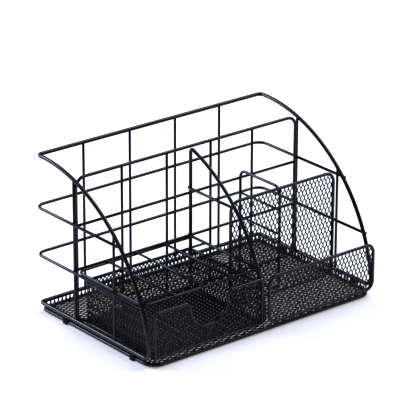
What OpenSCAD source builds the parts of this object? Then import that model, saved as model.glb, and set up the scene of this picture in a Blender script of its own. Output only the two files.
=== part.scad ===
// Desk organizer of bent and welded steel wire with expanded-metal panels and a sliding drawer.
// Millimetres. +X is to the user's right, +Y is towards the back, +Z is up.
// The origin is at the bottom centre of the whole organizer.

/* [Overall] */
// Width over the wires that run round the sides
overall_w = 223; // [190:1:280]
// Depth from the front panel to the wires that run round the back
overall_d = 140.7; // [120:0.1:180]
// Height from the desk to the top of the back rod
overall_h = 128.6; // [115:0.1:170]

/* [Bays] */
// Depth of the file slot, from the back wires to the partition
file_bay_d = 44.6; // [30:0.1:60]
// Distance from the divider's arc, at the height of the pen panel's top, back to the panel
pen_panel_setback = 1.9; // [1.5:0.1:20]
// Width of the drawer bay, from the left frame wires to the divider
drawer_bay_w = 110.3; // [80:0.1:140]
// Width of the left pen compartment, from the divider to the pen divider
pen_bay_w = 49.4; // [25:0.1:80]
// Distance from the partition's right end to the pen panel's right wire
pen_panel_gap = 2; // [0:0.1:5]
// Distance from the front panel back to the front of the hoop
hoop_setback = 2.4; // [1.8:0.1:2.5]
// Distance the divider's arc lies inside the hoop's arcs
divider_inset = 0.8; // [0:0.1:2]
// Distance from the divider to the left wire of the front panel
front_panel_left_gap = 1.7; // [1.5:0.1:4]
// Distance from the front panel's right wire to the hoop's side
front_panel_right_gap = 0.6; // [0:0.1:1.5]

/* [Heights] */
// Height of the rim wire round the tray
rim_z = 7.2; // [6.6:0.1:10]
// Height of the partition's top wire
partition_h = 121.2; // [100:0.1:121.5]
// Height of the pen panel's top wire
pen_panel_h = 89.7; // [60:0.1:100]
// Height of the front panel's top wire
front_panel_h = 43.3; // [25:0.1:60]
// Height of the upper wire that runs round the back and sides
upper_level_z = 85.9; // [60:0.1:105]
// Height of the lower wire that runs round the back and sides, and of the shelf
lower_level_z = 47.2; // [46:0.1:58]
// Height of the upper rail across the partition
upper_rail_z = 82.5; // [60:0.1:100]
// Distance the divider's upper rail lies above the upper wire round the sides
divider_rail_rise = 2; // [0:0.1:6]
// Height of the lower rail across the partition
lower_rail_z = 47.2; // [40:0.1:58]
// Height of the upper rail in the pen divider
pen_rail_upper_z = 71; // [55:1:78]
// Height of the lower rail in the pen divider
pen_rail_lower_z = 51; // [20:1:54]

/* [Wires] */
// Diameter of the hoop wire and the rim wire
hoop_wire = 3; // [2.5:0.1:3.6]
// Diameter of the ring wire under the tray
ring_wire = 2.8; // [2.4:0.1:3.4]
// Diameter of the wires that run round the back and sides
level_wire = 2.3; // [1.8:0.1:2.8]
// Diameter of the partition and panel frame wires
post_wire = 2.5; // [2:0.1:3]
// Diameter of the divider's loop wire
divider_wire = 2.8; // [2.2:0.1:3.2]
// Diameter of the rails
rail_wire = 2.2; // [1.8:0.1:2.6]
// Diameter of the uprights and of the shelf's edge wire
upright_wire = 2; // [1.6:0.1:2.4]
// Diameter of the shelf's inner wires
grid_wire = 1.8; // [1.4:0.1:2.2]
// Diameter of the drawer's wires
drawer_wire = 2.2; // [1.8:0.1:2.6]
// Thickness of the expanded-metal sheet
sheet_t = 0.8; // [0.6:0.1:1.2]
// Depth that two crossing wires sink into each other at a weld
weld_bite = 0.3; // [0.2:0.05:0.4]

/* [Bends] */
// Bend radius at the top back corners of the hoop
hoop_corner_r = 4; // [3:0.5:12]
// Bend radius of the wires that run round the back and sides
level_corner_r = 8; // [4:0.5:12]
// Bend radius at the back corners of the tray
tray_corner_r = 4; // [3.5:0.5:10]
// Bend radius at the front foot of the hoop and of the divider
foot_bend_r = 6; // [4:0.5:10]
// Bend radius at the front corners of the tray
ring_corner_r = 10; // [6:0.5:14]
// Bend radius of the partition and the pen panel
panel_corner_r = 8; // [5:0.5:12]
// Bend radius of the front panel
front_corner_r = 7; // [5:0.5:10]
// Bend radius of the pen divider, the shelf and the back of the drawer
small_corner_r = 6; // [4:0.5:8]

/* [Drawer] */
// Height of the drawer front's top wire
drawer_h = 42.3; // [30:0.1:43]
// Width of the straight stretch of the finger notch
notch_w = 36; // [24:1:50]
// Bend radius where the finger notch meets the top wire
notch_flare_r = 4.4; // [3:0.1:6]
// Distance the drawer's rim wire lies below the top of its front
drawer_rim_drop = 3.5; // [1:0.1:6]
// Gap between the drawer and the left frame wires, wire centre to wire centre
drawer_left_gap = 5.8; // [5:0.1:10]
// Gap between the drawer and the divider beside it
drawer_clearance = 0.6; // [0.4:0.1:1.5]
// Gap between the drawer and the partition behind it
drawer_back_gap = 0.9; // [0.4:0.1:3]
// Gap between the drawer and the tray's lip below it
drawer_lift = 0.3; // [0.2:0.1:1]
// Distance the drawer front sits behind the front panel
drawer_setback = 2.5; // [2:0.1:6]

/* [Tray] */
// Distance the ring wire lies inside the rim wire
ring_inset = 1.4; // [1:0.1:3]
// Distance the ring wire lies behind the front edge
ring_front_inset = 0.4; // [0.2:0.1:1]
// Height of the tray's walls above the rim wire's centre
wall_rise = 0.8; // [0.5:0.1:1.4]
// Height of the tray's low front lip
lip_h = 5; // [4.2:0.1:5.4]
// Depth of a foot's base under the ring wire
foot_base = 0.5; // [0.3:0.1:1.5]
// Length of a foot
foot_len = 5; // [4:0.5:14]
// Thickness of a foot's sleeve round the ring wire
foot_wall = 0.8; // [0.7:0.1:1.5]
// Distance from the front edge to the front feet
front_foot_y = 24; // [18:1:40]
// Distance from the back edge to the rear feet
rear_foot_y = 34.5; // [18:0.5:50]

/* [Shelf] */
// Depths of the shelf's cells from the front, as shares of the shelf's depth
shelf_rows = [0.29, 0.565, 0.795];
// Number of cells across the shelf
shelf_columns = 4; // [3:1:6]
// Number of bays that the uprights make in the back and the partition
upright_bays = 5; // [3:1:7]

/* [Hidden] */

black = [0.10, 0.10, 0.11];
mesh_black = [0.14, 0.14, 0.15];
foot_black = [0.05, 0.05, 0.05];
$fn = 48;

// A straight wire runs this far into the bends that it meets, so that they join.
joint_lap = 0.2;
// Wire draws down by this much in diameter where it is bent.
bend_draw = 0.04;
// A cutting shape runs this far past the piece that it cuts.
cut_margin = 1;
// A shelf wire runs this far past the centre of the edge wire that it rests on.
wire_overrun = 0.5;

// Two crossing wires of these diameters touch at this distance.
function crossing(a, b) = (a + b) / 2 - weld_bite;

// Wire centre planes, from the wires round the outside in to the uprights, the partition and the shelf.
level_x = overall_w / 2 - level_wire / 2;
level_y = overall_d / 2 - level_wire / 2;
side_x = level_x - crossing(upright_wire, level_wire);
back_y = level_y - crossing(upright_wire, level_wire);
post_x = side_x - crossing(upright_wire, post_wire);
shelf_x = -side_x + crossing(upright_wire, upright_wire);
front_y = -overall_d / 2 + post_wire / 2;
top_z = overall_h - hoop_wire / 2;

// The ring lies on the feet, and the tray's floor lies on the ring.
ring_z = foot_base + ring_wire / 2;
ring_x = side_x - ring_inset;
ring_back_y = back_y - ring_inset;
ring_front_y = -overall_d / 2 + ring_wire / 2 + ring_front_inset;
floor_z = ring_z + ring_wire / 2 - weld_bite;
floor_top = floor_z + sheet_t;
wall_x = side_x - hoop_wire / 2 + weld_bite;
wall_back_y = back_y - hoop_wire / 2 + weld_bite;
lip_y = front_y - sheet_t / 2;

// The hoop's side arcs start level at the back and come down to the rim at the front.
// arc_drop and arc_run are measured to the centre of the bend at the foot.
arc_y = back_y - hoop_corner_r;
arc_drop = top_z - rim_z - foot_bend_r;
arc_run = arc_y - (front_y + hoop_setback + foot_bend_r);
arc_r = (arc_run * arc_run + arc_drop * arc_drop - foot_bend_r * foot_bend_r)
    / (2 * (arc_drop - foot_bend_r));
arc_z = top_z - arc_r;

// Where an arc of radius r about the arcs' centre is, at a height or at a depth.
function arc_y_at(r, z) = arc_y - sqrt(r * r - (z - arc_z) * (z - arc_z));
function arc_z_at(r, y) = arc_z + sqrt(r * r - (arc_y - y) * (arc_y - y));

// Centre of a bend of radius b that runs from an arc of radius r into a level wire at height z.
function foot_centre(r, b, z) =
    [arc_y - sqrt((r - b) * (r - b) - (z + b - arc_z) * (z + b - arc_z)), z + b];

// Direction from the arcs' centre to a point in the side plane.
function arc_angle(p) = atan2(p[1] - arc_z, p[0] - arc_y);

// Planes of the partition, the pen panel and the dividers.
partition_y = back_y - file_bay_d;
divider_x = -side_x + drawer_bay_w;
pen_divider_x = divider_x + pen_bay_w;
divider_r = arc_r - divider_inset;
pen_y = arc_y_at(divider_r, pen_panel_h) + pen_panel_setback;
divider_z = floor_top + divider_wire / 2 - weld_bite;
divider_top_bend_r = 2.5;
divider_rail_x = divider_x - crossing(divider_wire, rail_wire);
divider_rail_upper_z = upper_level_z + divider_rail_rise;
rail_y = partition_y + crossing(upright_wire, rail_wire);
post_floor_z = floor_top + post_wire / 2 - weld_bite;

// The front panel stands on the tray's lip.
front_left_x = divider_x + front_panel_left_gap;
front_right_x = side_x - front_panel_right_gap;
front_panel_z = lip_h + post_wire / 2 - weld_bite;

// The shelf's edge wire lies along the lower level wire and in front of the partition.
shelf_back_y = partition_y - crossing(upright_wire, upright_wire);
shelf_front_y = arc_y_at(divider_r, lower_level_z) - crossing(divider_wire, upright_wire);
shelf_depth = shelf_back_y - shelf_front_y;
shelf_width = divider_x - shelf_x;
long_wire_z = lower_level_z + crossing(grid_wire, grid_wire);
divider_rail_lower_z = lower_level_z + crossing(grid_wire, rail_wire);

// The drawer's wire planes.
drawer_left_x = -side_x + drawer_left_gap;
drawer_right_x = divider_x - (divider_wire + drawer_wire) / 2 - drawer_clearance;
drawer_mid_x = (drawer_left_x + drawer_right_x) / 2;
drawer_w = drawer_right_x - drawer_left_x;
drawer_front_y = front_y + drawer_setback;
drawer_back_y = partition_y - (post_wire + drawer_wire) / 2 - drawer_back_gap;
drawer_depth = drawer_back_y - drawer_front_y;
drawer_base_z = lip_h + drawer_wire / 2 + drawer_lift;
drawer_rim_z = drawer_h - drawer_rim_drop;
drawer_corner_r = 3;
sheet_edge = drawer_wire / 2 - weld_bite;

// A straight wire between two points of the XY plane.
module wire_run(p, q, d) {
    along = q - p;
    translate([p[0], p[1], 0])
        rotate([0, 0, atan2(along[1], along[0])])
            rotate([0, 90, 0])
                translate([0, 0, -joint_lap])
                    cylinder(h = norm(along) + 2 * joint_lap, d = d);
}

// A bent wire in the XY plane, of radius r about c, from angle a0 round to a1.
module wire_bend(c, r, a0, a1, d) {
    translate([c[0], c[1], 0])
        rotate([0, 0, a0])
            rotate_extrude(angle = a1 - a0)
                translate([r, 0])
                    circle(d = d - bend_draw);
}

// Straight wires along the axes.
module wire_x(x0, x1, y, z, d) {
    translate([x0, y, z])
        rotate([0, 90, 0])
            cylinder(h = x1 - x0, d = d);
}

module wire_y(x, y0, y1, z, d) {
    translate([x, y1, z])
        rotate([90, 0, 0])
            cylinder(h = y1 - y0, d = d);
}

module wire_z(x, y, z0, z1, d) {
    translate([x, y, z0])
        cylinder(h = z1 - z0, d = d);
}

// Stand a shape drawn in the XY plane up in the XZ plane at depth y.
module facing_front(y) {
    translate([0, y, 0])
        rotate([90, 0, 0])
            children();
}

// Stand a shape drawn in the XY plane up in the YZ plane at x.
module facing_side(x) {
    translate([x, 0, 0])
        rotate([90, 0, 90])
            children();
}

// A closed wire loop with rounded corners, between two opposite corner points.
module wire_loop(low, high, r, d) {
    wire_run([low[0] + r, low[1]], [high[0] - r, low[1]], d);
    wire_run([low[0] + r, high[1]], [high[0] - r, high[1]], d);
    wire_run([low[0], low[1] + r], [low[0], high[1] - r], d);
    wire_run([high[0], low[1] + r], [high[0], high[1] - r], d);
    wire_bend([low[0] + r, low[1] + r], r, 180, 270, d);
    wire_bend([high[0] - r, low[1] + r], r, 270, 360, d);
    wire_bend([high[0] - r, high[1] - r], r, 0, 90, d);
    wire_bend([low[0] + r, high[1] - r], r, 90, 180, d);
}

// A wire that runs from the front up one side, across the back and down the other side.
module wire_u(left, right, front_left, front_right, back, r, d) {
    wire_run([left, front_left], [left, back - r], d);
    wire_run([left + r, back], [right - r, back], d);
    wire_run([right, front_right], [right, back - r], d);
    wire_bend([left + r, back - r], r, 90, 180, d);
    wire_bend([right - r, back - r], r, 0, 90, d);
}

// A flat rectangle with round corners, between two opposite corner points.
module round_rect(low, high, r) {
    translate([low[0] + r, low[1]])
        square([high[0] - low[0] - 2 * r, high[1] - low[1]]);
    translate([low[0], low[1] + r])
        square([high[0] - low[0], high[1] - low[1] - 2 * r]);
    for (x = [low[0] + r, high[0] - r])
        for (y = [low[1] + r, high[1] - r])
            translate([x, y])
                circle(r);
}

// A flat sheet that fills a wire loop and is welded into the inside of its wire.
module loop_sheet(low, high, r, d) {
    edge = d / 2 - weld_bite;
    translate([0, 0, -sheet_t / 2])
        linear_extrude(sheet_t)
            round_rect(low + [edge, edge], high - [edge, edge], r - edge);
}

// The hoop's top rod, across the back, bent forward at both ends.
module hoop_top_rod() {
    color(black)
        translate([0, 0, top_z]) {
            wire_run([-side_x + hoop_corner_r, back_y], [side_x - hoop_corner_r, back_y], hoop_wire);
            wire_bend([-side_x + hoop_corner_r, arc_y], hoop_corner_r, 90, 180, hoop_wire);
            wire_bend([side_x - hoop_corner_r, arc_y], hoop_corner_r, 0, 90, hoop_wire);
        }
}

// One of the hoop's curved sides. side is -1 on the left and 1 on the right.
module hoop_arc(side) {
    foot = foot_centre(arc_r, foot_bend_r, rim_z);
    color(black)
        facing_side(side * side_x)
            wire_bend([arc_y, arc_z], arc_r, 90, arc_angle(foot), hoop_wire);
}

// The rim wire: round the sides and back of the tray, bent up at the front to meet the hoop's ends.
module base_rim_wire() {
    foot = foot_centre(arc_r, foot_bend_r, rim_z);
    color(black) {
        translate([0, 0, rim_z])
            wire_u(-side_x, side_x, foot[0], foot[0], back_y, tray_corner_r, hoop_wire);
        for (x = [-side_x, side_x])
            facing_side(x)
                wire_bend(foot, foot_bend_r, arc_angle(foot), 270, hoop_wire);
    }
}

// The ring wire under the tray.
module base_ring_wire() {
    turn_y = ring_front_y + ring_corner_r;
    turn_x = ring_x - ring_corner_r;
    color(black)
        translate([0, 0, ring_z]) {
            wire_u(-ring_x, ring_x, turn_y, turn_y, ring_back_y, tray_corner_r, ring_wire);
            wire_bend([-turn_x, turn_y], ring_corner_r, 180, 270, ring_wire);
            wire_bend([turn_x, turn_y], ring_corner_r, 270, 360, ring_wire);
            wire_run([-turn_x, ring_front_y], [turn_x, ring_front_y], ring_wire);
        }
}

// The tray's plan outline, smaller by g all round.
module tray_outline(g) {
    low = [-wall_x + g, lip_y + g];
    high = [wall_x - g, wall_back_y - g];
    front_r = ring_corner_r - g;
    back_r = tray_corner_r - side_x + wall_x - g;
    translate([low[0], low[1] + front_r])
        square([high[0] - low[0], high[1] - low[1] - front_r - back_r]);
    translate([low[0] + front_r, low[1]])
        square([high[0] - low[0] - 2 * front_r, 2 * front_r]);
    translate([low[0] + back_r, high[1] - 2 * back_r])
        square([high[0] - low[0] - 2 * back_r, 2 * back_r]);
    for (side = [-1, 1]) {
        translate([side * (high[0] - front_r), low[1] + front_r])
            circle(front_r);
        translate([side * (high[0] - back_r), high[1] - back_r])
            circle(back_r);
    }
}

// The tray: a sheet floor with low walls behind the rim wire and a lower lip at the front.
module tray_mesh() {
    wall_top = rim_z + wall_rise;
    color(mesh_black)
        difference() {
            translate([0, 0, floor_z])
                linear_extrude(wall_top - floor_z)
                    tray_outline(0);
            translate([0, 0, floor_top])
                linear_extrude(wall_top)
                    tray_outline(sheet_t);
            translate([-overall_w, lip_y - cut_margin, lip_h])
                cube([2 * overall_w, ring_corner_r + cut_margin, wall_top]);
        }
}

// A foot: a sleeve on the ring wire with a flat base, and a tab up to the rim wire.
// side is -1 on the left and 1 on the right.
module foot(side, y) {
    sleeve_r = ring_wire / 2 + foot_wall;
    tab_top = rim_z - hoop_wire / 2 + weld_bite;
    wall_gap = wall_x - ring_x;
    color(foot_black)
        translate([side * ring_x, y, 0])
            difference() {
                union() {
                    translate([0, foot_len / 2, ring_z])
                        rotate([90, 0, 0])
                            cylinder(h = foot_len, r = sleeve_r);
                    translate([-sleeve_r, -foot_len / 2, 0])
                        cube([2 * sleeve_r, foot_len, ring_z]);
                    translate([side > 0 ? wall_gap : -sleeve_r, -foot_len / 2, ring_z])
                        cube([sleeve_r - wall_gap, foot_len, tab_top - ring_z]);
                }
                translate([0, foot_len, ring_z])
                    rotate([90, 0, 0])
                        cylinder(h = 2 * foot_len, d = ring_wire);
                translate([-overall_w, -overall_d, -overall_h])
                    cube([2 * overall_w, 2 * overall_d, overall_h]);
                translate([side > 0 ? wall_gap - overall_w : -wall_gap, -overall_d, floor_z])
                    cube([overall_w, 2 * overall_d, overall_h]);
            }
}

// A wire round the back and both sides at height z, welded to the arcs at its ends.
module level_run(z) {
    end_y = arc_y_at(arc_r, z) - weld_bite;
    color(black)
        translate([0, 0, z])
            wire_u(-level_x, level_x, end_y, end_y, level_y, level_corner_r, level_wire);
}

module upper_level_wire() {
    level_run(upper_level_z);
}

module lower_level_wire() {
    level_run(lower_level_z);
}

// A back upright between the rim and the top rod, counted from the left.
module back_upright(i) {
    x = -level_x + 2 * level_x * i / upright_bays;
    color(black)
        wire_z(x, back_y, rim_z, top_z, upright_wire);
}

// A side upright from the rim to the arc. side is -1 on the left and 1 on the right.
module side_upright(side, y) {
    color(black)
        wire_z(side * side_x, y, rim_z, arc_z_at(arc_r, y), upright_wire);
}

// The partition between the file slot and the rest.
module partition_frame() {
    color(black)
        facing_front(partition_y)
            wire_loop([-post_x, post_floor_z], [post_x, partition_h], panel_corner_r, post_wire);
}

// A rail across the back of the partition.
module partition_rail(z) {
    color(black)
        wire_x(-post_x, post_x, rail_y, z, rail_wire);
}

module partition_rail_upper() {
    partition_rail(upper_rail_z);
}

module partition_rail_lower() {
    partition_rail(lower_rail_z);
}

// The point at this share of the way from a to b.
function between(a, b, share) = a + (b - a) * share;

// The partition's uprights, from the left: two behind the drawer and one behind each pen compartment.
upright_x = [
    between(-post_x, divider_x, 0.393),
    between(-post_x, divider_x, 0.787),
    between(divider_x, pen_divider_x, 0.395),
    between(pen_divider_x, post_x, 0.205),
];

// An upright in the partition, counted from the left.
module partition_upright(i) {
    x = upright_x[i - 1];
    color(black)
        wire_z(x, partition_y, post_floor_z, partition_h, upright_wire);
}

// The divider between the drawer side and the pen side. Its bends meet the arc end to end.
divider_top_y = partition_y - divider_top_bend_r;
divider_top = [divider_top_y, arc_z_at(divider_r - divider_top_bend_r, divider_top_y)];
divider_foot = foot_centre(divider_r, foot_bend_r, divider_z);

module divider_arc() {
    color(black)
        facing_side(divider_x)
            wire_bend([arc_y, arc_z], divider_r, arc_angle(divider_top), arc_angle(divider_foot),
                      divider_wire);
}

// The divider's post, with the bend at its top.
module divider_post() {
    color(black)
        facing_side(divider_x) {
            wire_bend(divider_top, divider_top_bend_r, 0, arc_angle(divider_top), divider_wire);
            wire_run([partition_y, divider_z], [partition_y, divider_top[1]], divider_wire);
        }
}

// The divider's wire along the tray's floor, with the bend at its front.
module divider_base() {
    color(black)
        facing_side(divider_x) {
            wire_run([divider_foot[0], divider_z], [partition_y, divider_z], divider_wire);
            wire_bend(divider_foot, foot_bend_r, arc_angle(divider_foot), 270, divider_wire);
        }
}

// A rail along the left of the divider, from its post to its arc.
module divider_rail(z) {
    color(black)
        wire_y(divider_rail_x, arc_y_at(divider_r, z) - weld_bite, partition_y, z, rail_wire);
}

module divider_rail_upper() {
    divider_rail(divider_rail_upper_z);
}

module divider_rail_lower() {
    divider_rail(divider_rail_lower_z);
}

// The pen panel: a wire loop across the front of the pen bay, filled with sheet.
pen_panel_low = [divider_x, post_floor_z];
pen_panel_high = [post_x - pen_panel_gap, pen_panel_h];

module pen_panel_frame() {
    color(black)
        facing_front(pen_y)
            wire_loop(pen_panel_low, pen_panel_high, panel_corner_r, post_wire);
}

module pen_panel_mesh() {
    color(mesh_black)
        facing_front(pen_y)
            loop_sheet(pen_panel_low, pen_panel_high, panel_corner_r, post_wire);
}

// The pen divider: a loop from the partition to the pen panel, with two rails.
pen_divider_front_y = pen_y + crossing(sheet_t, rail_wire);

module pen_divider_loop() {
    color(black)
        facing_side(pen_divider_x)
            wire_loop([pen_divider_front_y, floor_top + rail_wire / 2 - weld_bite],
                      [partition_y, pen_panel_h], small_corner_r, rail_wire);
}

module pen_divider_rail(z) {
    color(black)
        wire_y(pen_divider_x, pen_divider_front_y, partition_y, z, grid_wire);
}

module pen_divider_rail_upper() {
    pen_divider_rail(pen_rail_upper_z);
}

module pen_divider_rail_lower() {
    pen_divider_rail(pen_rail_lower_z);
}

// The front panel of the small-items tray: a wire loop on the lip, filled with sheet.
front_panel_low = [front_left_x, front_panel_z];
front_panel_high = [front_right_x, front_panel_h];

module front_panel_frame() {
    color(black)
        facing_front(front_y)
            wire_loop(front_panel_low, front_panel_high, front_corner_r, post_wire);
}

module front_panel_mesh() {
    color(mesh_black)
        facing_front(front_y)
            loop_sheet(front_panel_low, front_panel_high, front_corner_r, post_wire);
}

// The shelf over the drawer: an edge wire from the divider's post round to its arc.
module shelf_edge_wire() {
    color(black)
        translate([0, 0, lower_level_z]) {
            wire_run([shelf_x + small_corner_r, shelf_back_y], [divider_x, shelf_back_y], upright_wire);
            wire_run([shelf_x, shelf_front_y + small_corner_r],
                     [shelf_x, shelf_back_y - small_corner_r], upright_wire);
            wire_run([shelf_x + small_corner_r, shelf_front_y],
                     [divider_x + weld_bite, shelf_front_y], upright_wire);
            wire_bend([shelf_x + small_corner_r, shelf_back_y - small_corner_r],
                      small_corner_r, 90, 180, upright_wire);
            wire_bend([shelf_x + small_corner_r, shelf_front_y + small_corner_r],
                      small_corner_r, 180, 270, upright_wire);
        }
}

// A shelf wire from left to right under the divider's rail, counted from the front.
module shelf_cross_wire(i) {
    y = shelf_front_y + shelf_depth * shelf_rows[i - 1];
    color(black)
        wire_x(shelf_x, divider_x + divider_wire / 2, y, lower_level_z, grid_wire);
}

// A shelf wire from front to back on top of the cross wires, counted from the left.
module shelf_long_wire(i) {
    x = shelf_x + shelf_width * i / shelf_columns;
    color(black)
        wire_y(x, shelf_front_y - wire_overrun, shelf_back_y + wire_overrun, long_wire_z, grid_wire);
}

// The drawer's floor and its back and side walls, open at the front and the top.
module drawer_basket() {
    color(mesh_black)
        difference() {
            translate([0, 0, drawer_base_z - sheet_t / 2])
                linear_extrude(drawer_rim_z - drawer_base_z)
                    drawer_outline(sheet_t / 2);
            translate([0, 0, drawer_base_z + sheet_t / 2])
                linear_extrude(drawer_h)
                    union() {
                        drawer_outline(-sheet_t / 2);
                        translate([drawer_left_x + sheet_t / 2, drawer_front_y - sheet_t])
                            square([drawer_w - sheet_t, drawer_depth / 2]);
                    }
        }
}

// The drawer's plan outline with round back corners, grown outward by g.
module drawer_outline(g) {
    r = small_corner_r + g;
    low = [drawer_left_x - g, drawer_front_y + drawer_wire / 2 - weld_bite];
    high = [drawer_right_x + g, drawer_back_y + g];
    translate(low)
        square([high[0] - low[0], high[1] - low[1] - r]);
    translate([low[0] + r, low[1]])
        square([high[0] - low[0] - 2 * r, high[1] - low[1]]);
    for (x = [low[0] + r, high[0] - r])
        translate([x, high[1] - r])
            circle(r);
}

// The wires round the drawer's foot and rim.
module drawer_u(z) {
    end_y = drawer_front_y + drawer_wire / 2 - weld_bite;
    color(black)
        translate([0, 0, z])
            wire_u(drawer_left_x, drawer_right_x, end_y, end_y, drawer_back_y, small_corner_r, drawer_wire);
}

module drawer_base_wire() {
    drawer_u(drawer_base_z);
}

module drawer_rim_wire() {
    drawer_u(drawer_rim_z);
}

// The drawer front's wire: a loop whose top dips into a round finger notch.
module drawer_front_frame() {
    notch_r = notch_w / 2;
    flare_x = notch_r + notch_flare_r;
    notch_z = drawer_h - notch_flare_r;
    r = drawer_corner_r;
    low = [drawer_left_x, drawer_base_z];
    high = [drawer_right_x, drawer_h];
    color(black)
        facing_front(drawer_front_y) {
            wire_run([low[0] + r, low[1]], [high[0] - r, low[1]], drawer_wire);
            wire_run([low[0], low[1] + r], [low[0], high[1] - r], drawer_wire);
            wire_run([high[0], low[1] + r], [high[0], high[1] - r], drawer_wire);
            wire_run([low[0] + r, high[1]], [drawer_mid_x - flare_x, high[1]], drawer_wire);
            wire_run([drawer_mid_x + flare_x, high[1]], [high[0] - r, high[1]], drawer_wire);
            wire_bend([low[0] + r, low[1] + r], r, 180, 270, drawer_wire);
            wire_bend([high[0] - r, low[1] + r], r, 270, 360, drawer_wire);
            wire_bend([high[0] - r, high[1] - r], r, 0, 90, drawer_wire);
            wire_bend([low[0] + r, high[1] - r], r, 90, 180, drawer_wire);
            wire_bend([drawer_mid_x - flare_x, notch_z], notch_flare_r, 0, 90, drawer_wire);
            wire_bend([drawer_mid_x + flare_x, notch_z], notch_flare_r, 90, 180, drawer_wire);
            wire_bend([drawer_mid_x, notch_z], notch_r, 180, 360, drawer_wire);
        }
}

// The drawer front's sheet, cut out along the finger notch.
module drawer_front_mesh() {
    notch_r = notch_w / 2 + sheet_edge;
    flare_r = notch_flare_r - sheet_edge;
    notch_z = drawer_h - notch_flare_r;
    r = drawer_corner_r - sheet_edge;
    color(mesh_black)
        facing_front(drawer_front_y)
            translate([0, 0, -sheet_t / 2])
                linear_extrude(sheet_t)
                    difference() {
                        round_rect([drawer_left_x + sheet_edge, drawer_base_z + sheet_edge],
                                   [drawer_right_x - sheet_edge, drawer_h - sheet_edge], r);
                        translate([drawer_mid_x, notch_z])
                            circle(notch_r);
                        difference() {
                            translate([drawer_mid_x - notch_r - flare_r, notch_z])
                                square([2 * (notch_r + flare_r), notch_flare_r]);
                            for (side = [-1, 1])
                                translate([drawer_mid_x + side * (notch_r + flare_r), notch_z])
                                    circle(flare_r);
                        }
                    }
}

rear_y = overall_d / 2 - rear_foot_y;
fore_y = -overall_d / 2 + front_foot_y;

hoop_top_rod();
hoop_arc(-1);  // hoop_arc_left
hoop_arc(1);  // hoop_arc_right
base_rim_wire();
base_ring_wire();
tray_mesh();
foot(-1, fore_y);  // foot_front_left
foot(1, fore_y);  // foot_front_right
foot(-1, rear_y);  // foot_rear_left
foot(1, rear_y);  // foot_rear_right
upper_level_wire();
lower_level_wire();
back_upright(1);  // back_upright_1
back_upright(2);  // back_upright_2
back_upright(3);  // back_upright_3
back_upright(4);  // back_upright_4
side_upright(-1, partition_y);  // side_upright_rear_left
side_upright(1, partition_y);  // side_upright_rear_right
side_upright(-1, pen_y);  // side_upright_front_left
side_upright(1, pen_y);  // side_upright_front_right
partition_frame();
partition_rail_upper();
partition_rail_lower();
partition_upright(1);  // partition_upright_1
partition_upright(2);  // partition_upright_2
partition_upright(3);  // partition_upright_3
partition_upright(4);  // partition_upright_4
divider_post();
divider_base();
divider_arc();
divider_rail_upper();
divider_rail_lower();
pen_panel_frame();
pen_panel_mesh();
pen_divider_loop();
pen_divider_rail_upper();
pen_divider_rail_lower();
front_panel_frame();
front_panel_mesh();
shelf_edge_wire();
shelf_cross_wire(1);  // shelf_cross_wire_1
shelf_cross_wire(2);  // shelf_cross_wire_2
shelf_cross_wire(3);  // shelf_cross_wire_3
shelf_long_wire(1);  // shelf_long_wire_1
shelf_long_wire(2);  // shelf_long_wire_2
shelf_long_wire(3);  // shelf_long_wire_3
drawer_basket();
drawer_base_wire();
drawer_rim_wire();
drawer_front_frame();
drawer_front_mesh();
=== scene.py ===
import math

import bmesh
import bpy
import numpy as np
from mathutils import Matrix, Quaternion, Vector


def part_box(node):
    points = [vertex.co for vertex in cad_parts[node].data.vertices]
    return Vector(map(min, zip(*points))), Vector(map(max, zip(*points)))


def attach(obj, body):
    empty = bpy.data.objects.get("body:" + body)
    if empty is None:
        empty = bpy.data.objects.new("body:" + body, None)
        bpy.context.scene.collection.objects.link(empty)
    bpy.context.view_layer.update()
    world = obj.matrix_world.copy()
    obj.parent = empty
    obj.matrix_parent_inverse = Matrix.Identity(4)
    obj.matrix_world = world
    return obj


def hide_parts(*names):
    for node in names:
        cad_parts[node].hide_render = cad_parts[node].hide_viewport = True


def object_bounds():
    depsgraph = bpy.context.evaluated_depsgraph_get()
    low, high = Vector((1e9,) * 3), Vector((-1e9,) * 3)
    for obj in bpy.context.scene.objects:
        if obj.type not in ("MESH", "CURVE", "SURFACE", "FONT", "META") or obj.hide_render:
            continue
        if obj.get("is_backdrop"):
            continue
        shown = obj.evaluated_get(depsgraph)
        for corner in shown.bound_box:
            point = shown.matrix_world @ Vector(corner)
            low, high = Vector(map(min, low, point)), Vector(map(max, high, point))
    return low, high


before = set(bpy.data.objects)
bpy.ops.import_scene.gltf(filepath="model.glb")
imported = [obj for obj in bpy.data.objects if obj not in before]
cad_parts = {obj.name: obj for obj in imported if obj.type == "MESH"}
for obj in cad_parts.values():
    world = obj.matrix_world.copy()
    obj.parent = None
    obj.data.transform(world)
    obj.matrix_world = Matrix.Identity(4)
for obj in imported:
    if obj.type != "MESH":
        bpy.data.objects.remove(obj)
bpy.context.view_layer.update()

MM = 0.001

# ---------------------------------------------------------------------------
# Outer hoop. One length of 3 mm mild-steel wire, bent into the back rod, the two curved sides and
# the rim round the tray, and closed with a butt weld. Everything else is welded to it, and the
# whole rack is powder-coated black once it is together.
# ---------------------------------------------------------------------------
COAT_BLACK = "#0b0d16"
COAT_WORN = "#151826"
COAT_PEEL = 0.9 * MM
COAT_CLOUD = 14 * MM
COAT_RELIEF = 0.03 * MM
BEND_STEPS = 8
ARC_STEPS = 72
WIRE_SIDES = 16
END_NOSE = 0.12
END_FLAT = 0.38
HOOP_SETBACK = 2.4 * MM
HOOP_FOOT_BEND = 6 * MM
HOOP_BACK_BEND = 4 * MM


def linear(code):
    """An sRGB hex colour as linear red, green, blue and alpha."""
    shares = [int(code[i : i + 2], 16) / 255 for i in (1, 3, 5)]
    return [c / 12.92 if c <= 0.04045 else ((c + 0.055) / 1.055) ** 2.4 for c in shares] + [1]


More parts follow.
